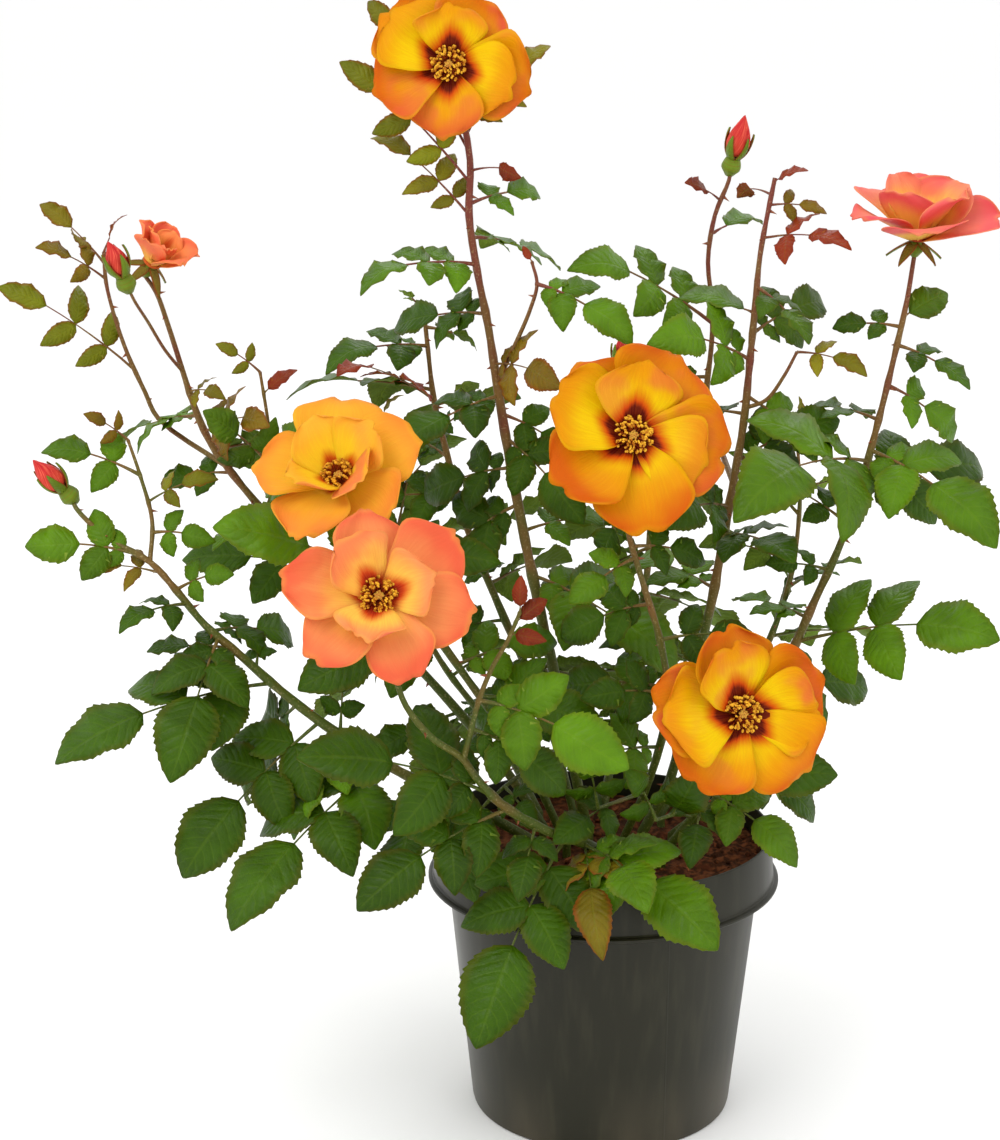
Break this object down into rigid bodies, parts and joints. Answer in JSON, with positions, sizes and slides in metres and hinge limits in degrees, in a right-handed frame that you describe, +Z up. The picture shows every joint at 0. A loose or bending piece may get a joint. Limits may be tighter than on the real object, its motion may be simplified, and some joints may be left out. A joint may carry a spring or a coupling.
{
  "type": "potted persian rose",
  "caption": "Bushy shrub rose with prickly canes, toothed compound leaves and open orange and salmon flowers with a dark red eye, in a round black nursery pot.",
  "frame": {"origin": "centre of the pot's underside, on the surface that the pot stands on", "axes": "+Z up along the pot's axis; -Y towards the front of the plant, as pictured; +X to the right of that view"},
  "size_m": [0.5359, 0.3315, 0.5971],
  "materials": {
    "plastic": "satin moulded black plastic",
    "soil": "coarse damp peat and bark",
    "leaf": "glossy living leaf and stem, young growth bronze and red",
    "petal_amber": "soft petal, yellow to orange with a dark red eye",
    "petal_coral": "soft petal, salmon pink with a red eye",
    "anther": "dusty golden anthers",
    "bud": "soft closed petals"
  },
  "bodies": {
    "root": {"pot": "plastic", "soil": "soil", "bloom_crest": "petal_amber", "bloom_noon": "petal_amber", "bloom_low": "petal_amber", "bloom_upper": "petal_amber", "bloom_salmon": "petal_coral", "bloom_east": "petal_coral", "bloom_west": "petal_coral", "stamens_crest": "anther", "stamens_noon": "anther", "stamens_low": "anther", "stamens_upper": "anther", "stamens_salmon": "anther", "stamens_east": "anther", "stamens_west": "anther", "bud_left": "bud", "bud_top": "bud", "bud_west": "bud", "bud_back": "bud", "cane_crest": "leaf", "cane_left": "leaf", "cane_west": "leaf", "cane_centre": "leaf", "cane_tall": "leaf", "cane_east": "leaf", "cane_noon": "leaf", "cane_front": "leaf", "cane_low": "leaf", "cane_upper": "leaf", "cane_back": "leaf", "cane_back_left": "leaf", "cane_back_right": "leaf"}
  },
  "joints": []
}
